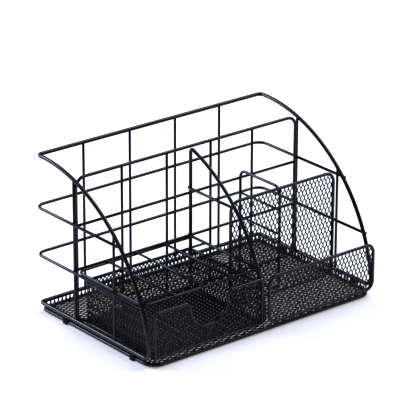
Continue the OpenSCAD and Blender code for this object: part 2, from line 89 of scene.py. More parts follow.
def add(tree, kind, settings=(), **sockets):
    """Adds a node to a tree, with its settings, and its sockets set to a value or linked to a socket."""
    made = tree.nodes.new(kind)
    for name, value in dict(settings).items():
        setattr(made, name, value)
    for name, value in sockets.items():
        socket = made.inputs[name.replace("_", " ")]
        if isinstance(value, bpy.types.NodeSocket):
            tree.links.new(value, socket)
        else:
            socket.default_value = value
    return made


def coating(name, fresh, worn, roughness, spread, peel, cloud, relief, reflectance):
    """A baked coating. Its colour and gloss drift over cloud metres, its skin ripples over peel metres."""
    made = bpy.data.materials.new(name)
    made.use_nodes = True
    tree = made.node_tree
    tree.nodes.clear()
    place = add(tree, "ShaderNodeTexCoord").outputs["Object"]
    drift = add(tree, "ShaderNodeTexNoise", Vector=place, Scale=1 / cloud, Detail=3.0).outputs["Fac"]
    ripple = add(tree, "ShaderNodeTexNoise", Vector=place, Scale=1 / peel, Detail=2.0).outputs["Fac"]
    tint = add(tree, "ShaderNodeValToRGB", Fac=drift)
    tint.color_ramp.elements[0].position = 0.35
    tint.color_ramp.elements[0].color = linear(fresh)
    tint.color_ramp.elements[1].position = 0.75
    tint.color_ramp.elements[1].color = linear(worn)
    gloss = add(tree, "ShaderNodeMapRange", Value=drift, **{"From_Min": 0.3, "From_Max": 0.7})
    gloss.inputs["To Min"].default_value = roughness - spread
    gloss.inputs["To Max"].default_value = roughness + spread
    skin = add(tree, "ShaderNodeBump", Height=ripple, Strength=0.6, Distance=relief)
    shader = add(
        tree,
        "ShaderNodeBsdfPrincipled",
        Base_Color=tint.outputs["Color"],
        Roughness=gloss.outputs["Result"],
        Normal=skin.outputs["Normal"],
        IOR=reflectance,
    )
    add(tree, "ShaderNodeOutputMaterial", Surface=shader.outputs["BSDF"])
    return made


# Polyester powder coat over steel wire: it flows out smooth in the oven, so it is black with a
# soft sheen along each wire, and a fine orange peel that only breaks up the edge of a highlight.
powder_coated_wire = coating(
    "powder_coated_steel_wire",
    COAT_BLACK,
    COAT_WORN,
    roughness=0.3,
    spread=0.05,
    peel=COAT_PEEL,
    cloud=COAT_CLOUD,
    relief=COAT_RELIEF,
    reflectance=1.62,
)


def centre(node):
    """The middle of a CAD node's box."""
    low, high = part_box(node)
    return (low + high) / 2


def thickness(node, axis):
    """A CAD node's size along an axis."""
    low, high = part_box(node)
    return high[axis] - low[axis]


def bent(corners, bends, closed=False):
    """A wire's centre line through these corners. bends is one radius for all of them, or one for each."""
    corners = [Vector(c) for c in corners]
    line = []
    for i, corner in enumerate(corners):
        radius = bends[i] if isinstance(bends, (list, tuple)) else bends
        if not closed and i in (0, len(corners) - 1):
            line.append(corner)
            continue
        back = (corners[i - 1] - corner).normalized()
        ahead = (corners[(i + 1) % len(corners)] - corner).normalized()
        half = back.angle(ahead) / 2
        middle = corner + (back + ahead).normalized() * radius / math.sin(half)
        start = corner + back * radius / math.tan(half) - middle
        end = corner + ahead * radius / math.tan(half) - middle
        turn = start.rotation_difference(end)
        line += [
            middle + Quaternion(turn.axis, turn.angle * k / BEND_STEPS) @ start for k in range(BEND_STEPS + 1)
        ]
    return line


def side_arc(x, middle, radius, first, last, steps):
    """Points round an arc in a side plane, from one angle to another in degrees."""
    return [
        Vector((x, middle[0] + radius * math.cos(a), middle[1] + radius * math.sin(a)))
        for a in (math.radians(first + (last - first) * k / steps) for k in range(steps + 1))
    ]


def keep_mesh(name, verts, faces, material, body, replaced):
    """Makes a smooth mesh piece that rides on a body and stands for some CAD nodes."""
    work = bmesh.new()
    made = [work.verts.new(v) for v in verts]
    for f in faces:
        work.faces.new([made[i] for i in f])
    bmesh.ops.recalc_face_normals(work, faces=work.faces)
    mesh = bpy.data.meshes.new(name)
    work.to_mesh(mesh)
    work.free()
    mesh.shade_smooth()
    mesh.materials.append(material)
    piece = bpy.data.objects.new(name, mesh)
    bpy.context.scene.collection.objects.link(piece)
    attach(piece, body)
    if replaced:
        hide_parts(*replaced)
    return piece


# Every wire's centre line, so that the weld spots can be found once all of them are in place.
laid = []


def wire(name, line, diameter, replaced, body="organizer", closed=False):
    """A wire of this diameter along a centre line. Its cut ends are slightly rounded over."""
    laid.append((body, np.array(line), diameter / 2, closed))
    line = [Vector(p) for p in line]
    radii = [diameter / 2] * len(line)
    if not closed:
        for end, inner in ((0, 1), (-1, -2)):
            nose = (line[inner] - line[end]).normalized() * diameter * END_NOSE
            line.insert(1 if end == 0 else len(line) - 1, line[end] + nose)
            radii.insert(1 if end == 0 else len(radii) - 1, diameter / 2)
            radii[end] = diameter * END_FLAT
    count = len(line)
    ahead = [(line[(i + 1) % count] - line[i]).normalized() for i in range(count)]
    if not closed:
        ahead[-1] = ahead[-2]
    along = [(ahead[i - 1] + ahead[i]).normalized() for i in range(count)]
    if not closed:
        along[0] = ahead[0]
    side = along[0].orthogonal().normalized()
    sides = [side]
    for a, b in zip(along, along[1:]):
        side = a.rotation_difference(b) @ side
        sides.append(side)
    slip = 0.0
    if closed:
        back = along[-1].rotation_difference(along[0]) @ sides[-1]
        slip = math.atan2(along[0].dot(back.cross(sides[0])), back.dot(sides[0]))
    verts = []
    for i, (point, tangent, out) in enumerate(zip(line, along, sides)):
        out = Quaternion(tangent, slip * i / count) @ out
        across = tangent.cross(out)
        for k in range(WIRE_SIDES):
            a = 2 * math.pi * k / WIRE_SIDES
            verts.append(point + radii[i] * (out * math.cos(a) + across * math.sin(a)))
    faces = []
    for i in range(count if closed else count - 1):
        here, there = i * WIRE_SIDES, (i + 1) % count * WIRE_SIDES
        for k in range(WIRE_SIDES):
            n = (k + 1) % WIRE_SIDES
            faces.append((here + k, here + n, there + n, there + k))
    if not closed:
        faces.append(tuple(range(WIRE_SIDES)))
        faces.append(tuple(range((count - 1) * WIRE_SIDES, count * WIRE_SIDES)))
    return keep_mesh(name, verts, faces, powder_coated_wire, body, replaced)


rod_low, rod_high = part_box("hoop_top_rod")
hoop_d = rod_high.z - rod_low.z
side_x = rod_high.x - hoop_d / 2
back_y = rod_high.y - hoop_d / 2
rod_z = rod_high.z - hoop_d / 2
rim_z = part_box("base_rim_wire")[0].z + hoop_d / 2
front_y = centre("front_panel_frame").y
arc_y = rod_low.y
arc_run = arc_y - front_y - HOOP_SETBACK - HOOP_FOOT_BEND
arc_drop = rod_z - rim_z - HOOP_FOOT_BEND
arc_r = (arc_run**2 + arc_drop**2 - HOOP_FOOT_BEND**2) / (2 * (arc_drop - HOOP_FOOT_BEND))
arc_z = rod_z - arc_r


def foot_bend(radius, bend, level):
    """The centre, in a side plane, of the bend from an arc into a level wire, and the angle it starts at."""
    reach = radius - bend
    y = arc_y - math.sqrt(reach**2 - (level + bend - arc_z) ** 2)
    return (y, level + bend), math.degrees(math.atan2(level + bend - arc_z, y - arc_y))


hoop_foot, hoop_foot_angle = foot_bend(arc_r, HOOP_FOOT_BEND, rim_z)
left_half = side_arc(-side_x, (arc_y, arc_z), arc_r, 90, hoop_foot_angle, ARC_STEPS)
left_half += side_arc(-side_x, hoop_foot, HOOP_FOOT_BEND, hoop_foot_angle, 270, BEND_STEPS)[1:]
left_half += bent(
    [(-side_x, hoop_foot[0], rim_z), (-side_x, back_y, rim_z), (0, back_y, rim_z)], HOOP_BACK_BEND
)[1:-1]
back_rod_bend = bent([(0, back_y, rod_z), (-side_x, back_y, rod_z), (-side_x, arc_y, rod_z)], back_y - arc_y)
left_half = back_rod_bend[1:-1] + left_half[1:]
right_half = [Vector((-p.x, p.y, p.z)) for p in reversed(left_half)]
wire(
    "outer_hoop",
    left_half + right_half,
    hoop_d,
    ["hoop_top_rod", "hoop_arc_left", "hoop_arc_right", "base_rim_wire"],
    closed=True,
)

# ---------------------------------------------------------------------------
# Ring under the tray. A closed ring of 2.8 mm wire, bent to the tray's outline and welded shut. It
# carries the tray's floor, and the four feet clip on to it.
# ---------------------------------------------------------------------------
RING_FRONT_BEND = 10 * MM


def ring_of(node, axis, bend, name, body="organizer"):
    """A closed wire loop that lies square to an axis and fills a CAD node's box, with bent corners."""
    low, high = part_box(node)
    half = (high[axis] - low[axis]) / 2
    across = [i for i in range(3) if i != axis]
    corners = []
    for at_u, at_v in ((0, 0), (1, 0), (1, 1), (0, 1)):
        corner = (low + high) / 2
        corner[across[0]] = high[across[0]] - half if at_u else low[across[0]] + half
        corner[across[1]] = high[across[1]] - half if at_v else low[across[1]] + half
        corners.append(corner)
    return wire(name, bent(corners, bend, True), 2 * half, [node], body, True)


ring_of("base_ring_wire", 2, [RING_FRONT_BEND] * 2 + [HOOP_BACK_BEND] * 2, "tray_ring")

# ---------------------------------------------------------------------------
# Tray. One blank of 0.8 mm expanded steel, its edges folded up behind the rim wire, with a low lip
# at the front. The mesh has diamond holes 8.1 mm by 3.65 mm from centre to centre, with strands
# about 1.2 mm wide, and it is spot-welded to the ring and to the rim.
# ---------------------------------------------------------------------------
SHEET_BLACK = "#090b12"
SHEET_WORN = "#12151e"
LONG_WAY = 8.1 * MM
SHORT_WAY = 3.65 * MM
HOLE_LONG = 5.0 * MM
HOLE_SHORT = 2.34 * MM
HOLE_SHAPE = 1.35
STRAND_LAND = 0.2 * MM
STRAND_EDGE = 0.35
STRAND_TWIST = 0.2 * MM
STRAND_THICK = 0.4 * MM
SHEET_INSET = 0.35 * MM

# The same powder coat on expanded steel: thinner on the sheared strands, so it looks drier and a
# little duller than on the wires.
powder_coated_sheet = coating(
    "powder_coated_expanded_steel",
    SHEET_BLACK,
    SHEET_WORN,
    roughness=0.44,
    spread=0.06,
    peel=COAT_PEEL,
    cloud=COAT_CLOUD,
    relief=COAT_RELIEF,
    reflectance=1.5,
)


def strands(low, high, corners, long_along):
    """The upper face of a flat piece of expanded metal between two points, as a bmesh in u, v and share of
    the half thickness. long_along is 0 or 1, for the direction that the holes' long way takes. corners
    holds the radii that the corners at the low and at the high v are cut to, or nothing for square ones."""
    step = [SHORT_WAY, SHORT_WAY]
    step[long_along] = LONG_WAY
    hole = [HOLE_SHORT / 2, HOLE_SHORT / 2]
    hole[long_along] = HOLE_LONG / 2
    rim, land, edge = [], [], []
    for turn, (su, sv) in enumerate(((1, 1), (-1, 1), (-1, -1), (1, -1))):
        for k in range(3):
            f = (k if turn % 2 == 0 else 3 - k) / 3
            rim.append((su * step[0] / 2 * (1 - f), sv * step[1] / 2 * f))
            bow = ((1 - f) ** (1 / HOLE_SHAPE), f ** (1 / HOLE_SHAPE))
            edge.append((su * hole[0] * bow[0], sv * hole[1] * bow[1]))
            land.append((su * (hole[0] + STRAND_LAND) * bow[0], sv * (hole[1] + STRAND_LAND) * bow[1]))
    tile = np.array([(*p, 1.0) for p in rim + land] + [(*p, STRAND_EDGE) for p in edge])
    quads = []
    for k in range(12):
        n = (k + 1) % 12
        quads += [(k, n, 12 + n, 12 + k), (12 + k, 12 + n, 24 + n, 24 + k)]
    span = [high[i] - low[i] for i in (0, 1)]
    across, up = (int(span[i] / step[i]) + 2 for i in (0, 1))
    middle = [(low[i] + high[i]) / 2 for i in (0, 1)]
    starts = [
        (middle[0] + (i + shift) * step[0], middle[1] + (j + shift) * step[1], 0)
        for shift in (0, 0.5)
        for i in range(-across // 2 - 1, across // 2 + 2)
        for j in range(-up // 2 - 1, up // 2 + 2)
    ]
    points = (np.array(starts)[:, None, :] + tile[None]).reshape(-1, 3)
    faces = (np.array(quads)[None] + len(tile) * np.arange(len(starts))[:, None, None]).reshape(-1, 4)
    _, first, back = np.unique(
        np.round(points / (0.001 * MM)).astype(np.int64), axis=0, return_index=True, return_inverse=True
    )
    points, faces = points[first], back.reshape(-1)[faces]
    work = bmesh.new()
    made = [work.verts.new(p) for p in points]
    for f in faces:
        work.faces.new([made[i] for i in f])
    cuts = [((low[0], 0), (-1, 0)), ((high[0], 0), (1, 0)), ((0, low[1]), (0, -1)), ((0, high[1]), (0, 1))]
    if corners:
        for su, sv in ((1, 1), (-1, 1), (-1, -1), (1, -1)):
            corner = corners[1] if sv > 0 else corners[0]
            hub = (
                (high[0] - corner) if su > 0 else (low[0] + corner),
                (high[1] - corner) if sv > 0 else (low[1] + corner),
            )
            for degrees in (15, 37.5, 52.5, 75):
                out = (su * math.cos(math.radians(degrees)), sv * math.sin(math.radians(degrees)))
                cuts.append(((hub[0] + corner * out[0], hub[1] + corner * out[1]), out))
    for at, out in cuts:
        bmesh.ops.bisect_plane(
            work,
            geom=work.verts[:] + work.edges[:] + work.faces[:],
            dist=0.00001 * MM,
            plane_co=(*at, 0),
            plane_no=(*out, 0),
            clear_outer=True,
        )
    bmesh.ops.delete(work, geom=[v for v in work.verts if not v.link_faces], context="VERTS")
    return work


def sheet(name, parts, replaced, body="organizer"):
    """A closed solid of expanded metal. parts holds (low, high, corners, long_along, place), where
    place(u, v, w) puts a point of the flat sheet, and w off it, where it belongs in the frame."""
    verts, faces = [], []
    for low, high, corners, long_along, place in parts:
        work = strands(low, high, corners, long_along)
        work.verts.index_update()
        base, count = len(verts), len(work.verts)
        step = [SHORT_WAY, SHORT_WAY]
        step[long_along] = LONG_WAY
        middle = [(low[i] + high[i]) / 2 for i in (0, 1)]
        for way in (1, -1):
            for v in work.verts:
                u_turn = 2 * math.pi * (v.co.x - middle[0]) / step[0]
                v_turn = 2 * math.pi * (v.co.y - middle[1]) / step[1]
                short, long = (v_turn, u_turn) if long_along == 0 else (u_turn, v_turn)
                twist = -STRAND_TWIST * math.sin(short) * math.cos(long)
                verts.append(place(v.co.x, v.co.y, twist + way * v.co.z * STRAND_THICK / 2))
        for f in work.faces:
            ids = [base + v.index for v in f.verts]
            faces.append(ids)
            faces.append([i + count for i in reversed(ids)])
        for e in work.edges:
            if len(e.link_faces) == 1:
                a, b = (base + v.index for v in e.verts)
                faces.append([a, b, b + count, a + count])
        work.free()
    return keep_mesh(name, verts, faces, powder_coated_sheet, body, replaced)


def folded(line, foot, rise):
    """Places a strip whose u runs along a plan line, v goes up from foot, and w points to the line's left."""
    line = np.array([(p[0], p[1]) for p in line])
    steps = np.diff(line, axis=0)
    reach = np.concatenate([[0], np.cumsum(np.linalg.norm(steps, axis=1))])

    def place(u, v, w):
        k = min(max(int(np.searchsorted(reach, u)) - 1, 0), len(steps) - 1)
        along = steps[k] / np.linalg.norm(steps[k])
        at = line[k] + along * (u - reach[k])
        return (at[0] - along[1] * w, at[1] + along[0] * w, foot + v)

    return (0, 0), (reach[-1], rise), (), 1, place


def level(z):
    """Places a level sheet at a height."""
    return lambda u, v, w: (u, v, z + w)


def upright(y):
    """Places a sheet that faces the front at a depth."""
    return lambda u, v, w: (u, y + w, v)


tray_low, tray_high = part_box("tray_mesh")
sheet_t = thickness("pen_panel_mesh", 1)
LIP_H = 5 * MM
FLOOR_INSET = 0.3 * MM
wall_line = [
    (tray_low.x + sheet_t / 2, tray_low.y + RING_FRONT_BEND, 0),
    (tray_low.x + sheet_t / 2, tray_high.y - sheet_t / 2, 0),
    (tray_high.x - sheet_t / 2, tray_high.y - sheet_t / 2, 0),
    (tray_high.x - sheet_t / 2, tray_low.y + RING_FRONT_BEND, 0),
]
lip_line = [
    (tray_high.x - sheet_t / 2, tray_low.y + RING_FRONT_BEND, 0),
    (tray_high.x - sheet_t / 2, tray_low.y + sheet_t / 2, 0),
    (tray_low.x + sheet_t / 2, tray_low.y + sheet_t / 2, 0),
    (tray_low.x + sheet_t / 2, tray_low.y + RING_FRONT_BEND, 0),
]
back_fold = HOOP_BACK_BEND - side_x + tray_high.x
sheet(
    "tray_expanded_metal",
    [
        (
            tray_low.xy + Vector((FLOOR_INSET, FLOOR_INSET)),
            tray_high.xy - Vector((FLOOR_INSET, FLOOR_INSET)),
            (RING_FRONT_BEND, back_fold),
            0,
            level(tray_low.z + sheet_t / 2),
        ),
        folded(bent(wall_line, back_fold - sheet_t / 2), tray_low.z, tray_high.z - tray_low.z),
        folded(bent(lip_line, RING_FRONT_BEND - sheet_t / 2), tray_low.z, LIP_H - tray_low.z),
    ],
    ["tray_mesh"],
)

# ---------------------------------------------------------------------------
# Feet. Four moulded rubber clips pushed on to the ring from below. Each wraps the wire, has a flat
# sole that stands on the desk, and a tab that grips behind the rim.
# ---------------------------------------------------------------------------
RUBBER_BLACK = "#070708"
RUBBER_DUSTY = "#101011"
FOOT_WALL = 0.8 * MM
FOOT_EDGE = 0.35 * MM
FOOT_GROOVE = 0.25 * MM
TAB_STEP = 0.3 * MM
TAB_THICK = 1.2 * MM
CROWN_DEGREES = (75, 95, 115, 135, 155)
FOOT_CREASE = 40

# Moulded rubber: matt, nearly black, with the fine grain of the mould, and a little dust on it.
moulded_rubber = coating(
    "moulded_black_rubber",
    RUBBER_BLACK,
    RUBBER_DUSTY,
    roughness=0.72,
    spread=0.08,
    peel=0.5 * MM,
    cloud=5 * MM,
    relief=0.06 * MM,
    reflectance=1.52,
)


def clip_foot(node):
    """A clip with a rounded crown over the ring wire, a flat sole and rounded ends, made as one moulding."""
    low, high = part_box(node)
    ring_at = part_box("base_ring_wire")
    ring_half = (ring_at[1].z - ring_at[0].z) / 2
    hub_z = ring_at[0].z + ring_half
    outward = 1 if high.x > 0 else -1
    hub_x = outward * (ring_at[1].x - ring_half)
    half = ring_half + FOOT_WALL
    tab = high.x - hub_x if outward > 0 else hub_x - low.x
    outline = [(-half, low.z), (half, low.z), (half, hub_z)]
    outline += [(tab, hub_z + TAB_STEP), (tab, high.z), (tab - TAB_THICK, high.z)]
    outline += [(half * math.cos(a), hub_z + half * math.sin(a)) for a in np.radians(CROWN_DEGREES)]
    outline += [(-half, hub_z)]
    depth = (high.y - low.y) / 2
    rows = [
        (-depth, -FOOT_EDGE),
        (-depth + FOOT_EDGE, 0),
        (-0.3 * depth, 0),
        (-0.2 * depth, -FOOT_GROOVE),
        (0.2 * depth, -FOOT_GROOVE),
        (0.3 * depth, 0),
        (depth - FOOT_EDGE, 0),
        (depth, -FOOT_EDGE),
    ]
    core_z = (low.z + high.z) / 2
    verts, faces = [], []
    for y, grow in rows:
        for u, z in outline:
            shrink = 1 + grow / half
            z_at = max(core_z + (z - core_z) * shrink, low.z)
            verts.append((hub_x + outward * u * shrink, (low.y + high.y) / 2 + y, z_at))
    size = len(outline)
    for i in range(len(rows) - 1):
        for k in range(size):
            n = (k + 1) % size
            faces.append((i * size + k, i * size + n, (i + 1) * size + n, (i + 1) * size + k))
    faces.append(tuple(range(size)))
    faces.append(tuple(range((len(rows) - 1) * size, len(rows) * size)))
    piece = keep_mesh(node + "_clip", verts, faces, moulded_rubber, "organizer", [node])
    piece.data.set_sharp_from_angle(angle=math.radians(FOOT_CREASE))
    return piece


for place_name in ("front_left", "front_right", "rear_left", "rear_right"):
    clip_foot("foot_" + place_name)

# ---------------------------------------------------------------------------
# Level wires and uprights. Two lengths of 2.3 mm wire run round the back and both sides and end on
# the curved sides. Four 2 mm uprights stand in the back and two in each side, cut square and welded.
# ---------------------------------------------------------------------------
LEVEL_BEND = 8 * MM


def u_wire(name, node, bend, body="organizer"):
    """A wire that runs from the front along the left, across the back and along the right of a node's box."""
    low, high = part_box(node)
    half = (high.z - low.z) / 2
    z = low.z + half
    left, right, back = low.x + half, high.x - half, high.y - half
    corners = [(left, low.y, z), (left, back, z), (right, back, z), (right, low.y, z)]
    return wire(name, bent(corners, bend), 2 * half, [node], body)


def straight(name, node, body="organizer"):
    """A straight wire that fills a node's box along its longest side."""
    low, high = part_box(node)
    size = high - low
    axis = max(range(3), key=lambda i: size[i])
    start, end = (low + high) / 2, (low + high) / 2
    start[axis], end[axis] = low[axis], high[axis]
    return wire(name, [start, end], size[(axis + 1) % 3], [node], body)


u_wire("upper_level_wire_bent", "upper_level_wire", LEVEL_BEND)
u_wire("lower_level_wire_bent", "lower_level_wire", LEVEL_BEND)
for number in range(1, 5):
    straight(f"back_upright_wire_{number}", f"back_upright_{number}")
for corner_name in ("rear_left", "rear_right", "front_left", "front_right"):
    straight("side_upright_wire_" + corner_name, "side_upright_" + corner_name)

# ---------------------------------------------------------------------------
# Partition behind the drawer and the pens. A closed loop of 2.5 mm wire with four uprights in it
# and two rails along its back, all welded where they cross.
# ---------------------------------------------------------------------------
PARTITION_BEND = 8 * MM

ring_of("partition_frame", 1, PARTITION_BEND, "partition_loop")
for rail_name in ("upper", "lower"):
    straight("partition_rail_wire_" + rail_name, "partition_rail_" + rail_name)
for number in range(1, 5):
    straight(f"partition_upright_wire_{number}", f"partition_upright_{number}")

# ---------------------------------------------------------------------------
# Divider between the drawer and the pens. One length of 2.8 mm wire goes up the partition, bends
# over, follows the curve of the sides down to the tray and comes back along its floor.
# ---------------------------------------------------------------------------
DIVIDER_INSET = 0.8 * MM
DIVIDER_TOP_BEND = 2.5 * MM
DIVIDER_FOOT_BEND = 1 * MM

divider_x = centre("divider_arc").x
divider_d = thickness("divider_base", 0)
divider_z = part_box("divider_base")[0].z + divider_d / 2
post_y = centre("partition_frame").y
divider_r = arc_r - DIVIDER_INSET
divider_foot, divider_foot_angle = foot_bend(divider_r, HOOP_FOOT_BEND, divider_z)
top_y = post_y - DIVIDER_TOP_BEND
top_z = arc_z + math.sqrt((divider_r - DIVIDER_TOP_BEND) ** 2 - (arc_y - top_y) ** 2)
top_angle = math.degrees(math.atan2(top_z - arc_z, top_y - arc_y))
divider_line = side_arc(divider_x, (top_y, top_z), DIVIDER_TOP_BEND, 0, top_angle, BEND_STEPS)
divider_line += side_arc(divider_x, (arc_y, arc_z), divider_r, top_angle, divider_foot_angle, ARC_STEPS)[1:]
divider_line += side_arc(divider_x, divider_foot, HOOP_FOOT_BEND, divider_foot_angle, 270, BEND_STEPS)[1:]
divider_line += [Vector((divider_x, post_y - divider_d, divider_z))]
post_foot = [
    (divider_x, post_y - divider_d, divider_z),
    (divider_x, post_y, divider_z),
    (divider_x, post_y, top_z),
]
divider_line += bent(post_foot, DIVIDER_FOOT_BEND)[1:-1]
wire("divider_loop", divider_line, divider_d, ["divider_post", "divider_base", "divider_arc"], closed=True)
for rail_name in ("upper", "lower"):
    straight("divider_rail_wire_" + rail_name, "divider_rail_" + rail_name)

# ---------------------------------------------------------------------------
# Pen panel and pen divider. The panel is a loop of 2.5 mm wire with a sheet of expanded metal
# welded into it. The divider is a 2.2 mm loop with two thin rails, from the partition to the panel.
# ---------------------------------------------------------------------------
PEN_DIVIDER_BEND = 6 * MM


def framed_sheet(name, node, frame_bend):
    """A flat panel of expanded metal, with its holes standing up, that fills a node's box."""
    low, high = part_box(node)
    cut = frame_bend - SHEET_INSET
    area = ((low.x, low.z), (high.x, high.z), (cut, cut), 1, upright((low.y + high.y) / 2))
    return sheet(name, [area], [node])


ring_of("pen_panel_frame", 1, PARTITION_BEND, "pen_panel_loop")
framed_sheet("pen_panel_expanded_metal", "pen_panel_mesh", PARTITION_BEND)
ring_of("pen_divider_loop", 0, PEN_DIVIDER_BEND, "pen_divider_wire")
for rail_name in ("upper", "lower"):
    straight("pen_divider_rail_wire_" + rail_name, "pen_divider_rail_" + rail_name)

# ---------------------------------------------------------------------------
# Front panel of the small-items tray. The same build as the pen panel, a wire loop filled with
# expanded metal, standing on the tray's lip between the divider and the right side.
# ---------------------------------------------------------------------------
FRONT_BEND = 7 * MM

ring_of("front_panel_frame", 1, FRONT_BEND, "front_panel_loop")
framed_sheet("front_panel_expanded_metal", "front_panel_mesh", FRONT_BEND)

# ---------------------------------------------------------------------------
# Shelf over the drawer. An edge wire runs from the divider's post along the partition, round the
# left side and back along the front to the divider's arc. Three thin wires cross it each way.
# ---------------------------------------------------------------------------
SHELF_BEND = 6 * MM

edge_low, edge_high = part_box("shelf_edge_wire")
edge_d = edge_high.z - edge_low.z
edge_z = (edge_low.z + edge_high.z) / 2
edge_corners = [
    (divider_x, edge_high.y - edge_d / 2, edge_z),
    (edge_low.x + edge_d / 2, edge_high.y - edge_d / 2, edge_z),
    (edge_low.x + edge_d / 2, edge_low.y + edge_d / 2, edge_z),
    (divider_x, edge_low.y + edge_d / 2, edge_z),
]
wire("shelf_edge", bent(edge_corners, SHELF_BEND), edge_d, ["shelf_edge_wire"])
for number in range(1, 4):
    straight(f"shelf_wire_across_{number}", f"shelf_cross_wire_{number}")
    straight(f"shelf_wire_along_{number}", f"shelf_long_wire_{number}")

# ---------------------------------------------------------------------------
# Drawer. A basket of expanded metal folded round two bent wires, one at its foot and one at its
# rim, with a front of the same mesh in a wire loop that dips into a round finger notch.
# ---------------------------------------------------------------------------
DRAWER = "drawer"
DRAWER_BEND = 6 * MM
FLOOR_CORNER = 0.5 * MM
FRONT_CORNER = 3 * MM
NOTCH_R = 18 * MM
NOTCH_FLARE = 4.4 * MM
NOTCH_STEPS = 28

u_wire("drawer_base_wire_bent", "drawer_base_wire", DRAWER_BEND, DRAWER)
u_wire("drawer_rim_wire_bent", "drawer_rim_wire", DRAWER_BEND, DRAWER)
basket_low, basket_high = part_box("drawer_basket")
drawer_d = thickness("drawer_base_wire", 2)
front_low, front_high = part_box("drawer_front_frame")
drawer_y = (front_low.y + front_high.y) / 2
basket_line = [
    (basket_low.x + sheet_t / 2, basket_low.y, 0),
    (basket_low.x + sheet_t / 2, basket_high.y - sheet_t / 2, 0),
    (basket_high.x - sheet_t / 2, basket_high.y - sheet_t / 2, 0),
    (basket_high.x - sheet_t / 2, basket_low.y, 0),
]
sheet(
    "drawer_basket_expanded_metal",
    [
        (
            basket_low.xy + Vector((FLOOR_INSET, 0)),
            basket_high.xy - Vector((FLOOR_INSET, FLOOR_INSET)),
            (FLOOR_CORNER, DRAWER_BEND),
            0,
            level(basket_low.z + sheet_t / 2),
        ),
        folded(bent(basket_line, DRAWER_BEND), basket_low.z, basket_high.z - basket_low.z),
    ],
    ["drawer_basket"],
    DRAWER,
)

# The front's wire, from the left end of the notch's left flare, round the front and back.
half_d = drawer_d / 2
left, right = front_low.x + half_d, front_high.x - half_d
foot_z, brow_z = front_low.z + half_d, front_high.z - half_d
notch_x = (left + right) / 2
notch_z = brow_z - NOTCH_FLARE
flare_x = NOTCH_R + NOTCH_FLARE


def front_arc(mid_x, mid_z, radius, first, last, steps):
    """Points round an arc in the drawer front's plane, from one angle to another in degrees."""
    return [
        Vector((mid_x + radius * math.cos(a), drawer_y, mid_z + radius * math.sin(a)))
        for a in (math.radians(first + (last - first) * k / steps) for k in range(steps + 1))
    ]


notch_line = front_arc(notch_x - flare_x, notch_z, NOTCH_FLARE, 90, 0, BEND_STEPS)
notch_line += front_arc(notch_x, notch_z, NOTCH_R, 180, 360, NOTCH_STEPS)[1:]
notch_line += front_arc(notch_x + flare_x, notch_z, NOTCH_FLARE, 180, 90, BEND_STEPS)[1:]
front_line = notch_line + bent(
    [
        (notch_x + flare_x, drawer_y, brow_z),
        (right, drawer_y, brow_z),
        (right, drawer_y, foot_z),
        (left, drawer_y, foot_z),
        (left, drawer_y, brow_z),
        (notch_x - flare_x, drawer_y, brow_z),
    ],
    FRONT_CORNER,
)[1:-1]
wire("drawer_front_loop", front_line, drawer_d, ["drawer_front_frame"], DRAWER, True)

mesh_low, mesh_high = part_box("drawer_front_mesh")
front_corners = (FRONT_CORNER, FRONT_CORNER)
front_mesh = sheet(
    "drawer_front_expanded_metal",
    [((mesh_low.x, mesh_low.z), (mesh_high.x, mesh_high.z), front_corners, 1, upright(drawer_y))],
    ["drawer_front_mesh"],
    DRAWER,
)
# The notch is punched out along the middle of its wire.
punch_work = bmesh.new()
punch_line = notch_line + [
    Vector((notch_x + flare_x, drawer_y, front_high.z + drawer_d)),
    Vector((notch_x - flare_x, drawer_y, front_high.z + drawer_d)),
]
punch_face = punch_work.faces.new([punch_work.verts.new(p + Vector((0, drawer_d, 0))) for p in punch_line])
pushed = bmesh.ops.extrude_face_region(punch_work, geom=[punch_face])["geom"]
for v in [g for g in pushed if isinstance(g, bmesh.types.BMVert)]:
    v.co.y -= 2 * drawer_d
bmesh.ops.recalc_face_normals(punch_work, faces=punch_work.faces)
punch_mesh = bpy.data.meshes.new("notch_punch")
punch_work.to_mesh(punch_mesh)
punch_work.free()
punch = bpy.data.objects.new("notch_punch", punch_mesh)
bpy.context.scene.collection.objects.link(punch)
cut = front_mesh.modifiers.new("notch", "BOOLEAN")
cut.operation = "DIFFERENCE"
cut.solver = "EXACT"
cut.object = punch
bpy.context.view_layer.update()
shaped = bpy.data.meshes.new_from_object(front_mesh.evaluated_get(bpy.context.evaluated_depsgraph_get()))
front_mesh.modifiers.clear()
front_mesh.data = shaped
bpy.data.objects.remove(punch)

# ---------------------------------------------------------------------------
# Weld spots. Wherever two wires cross or meet, a projection weld leaves a small nugget in the
# crotch between them, and the powder coat rounds it off.
# ---------------------------------------------------------------------------
WELD_STEP = 0.5 * MM
WELD_TOUCH = 0.15 * MM
WELD_RUN = 9 * MM
WELD_SWELL = 1.12
WELD_ROWS = 6
WELD_SIDES = 12


def walked(line, closed):
    """A centre line in short, even steps."""
    line = np.vstack([line, line[:1]]) if closed else line
    reach = np.concatenate([[0], np.cumsum(np.linalg.norm(np.diff(line, axis=0), axis=1))])
    at = np.linspace(0, reach[-1], max(int(reach[-1] / WELD_STEP), 2))
    return np.stack([np.interp(at, reach, line[:, i]) for i in range(3)], 1)


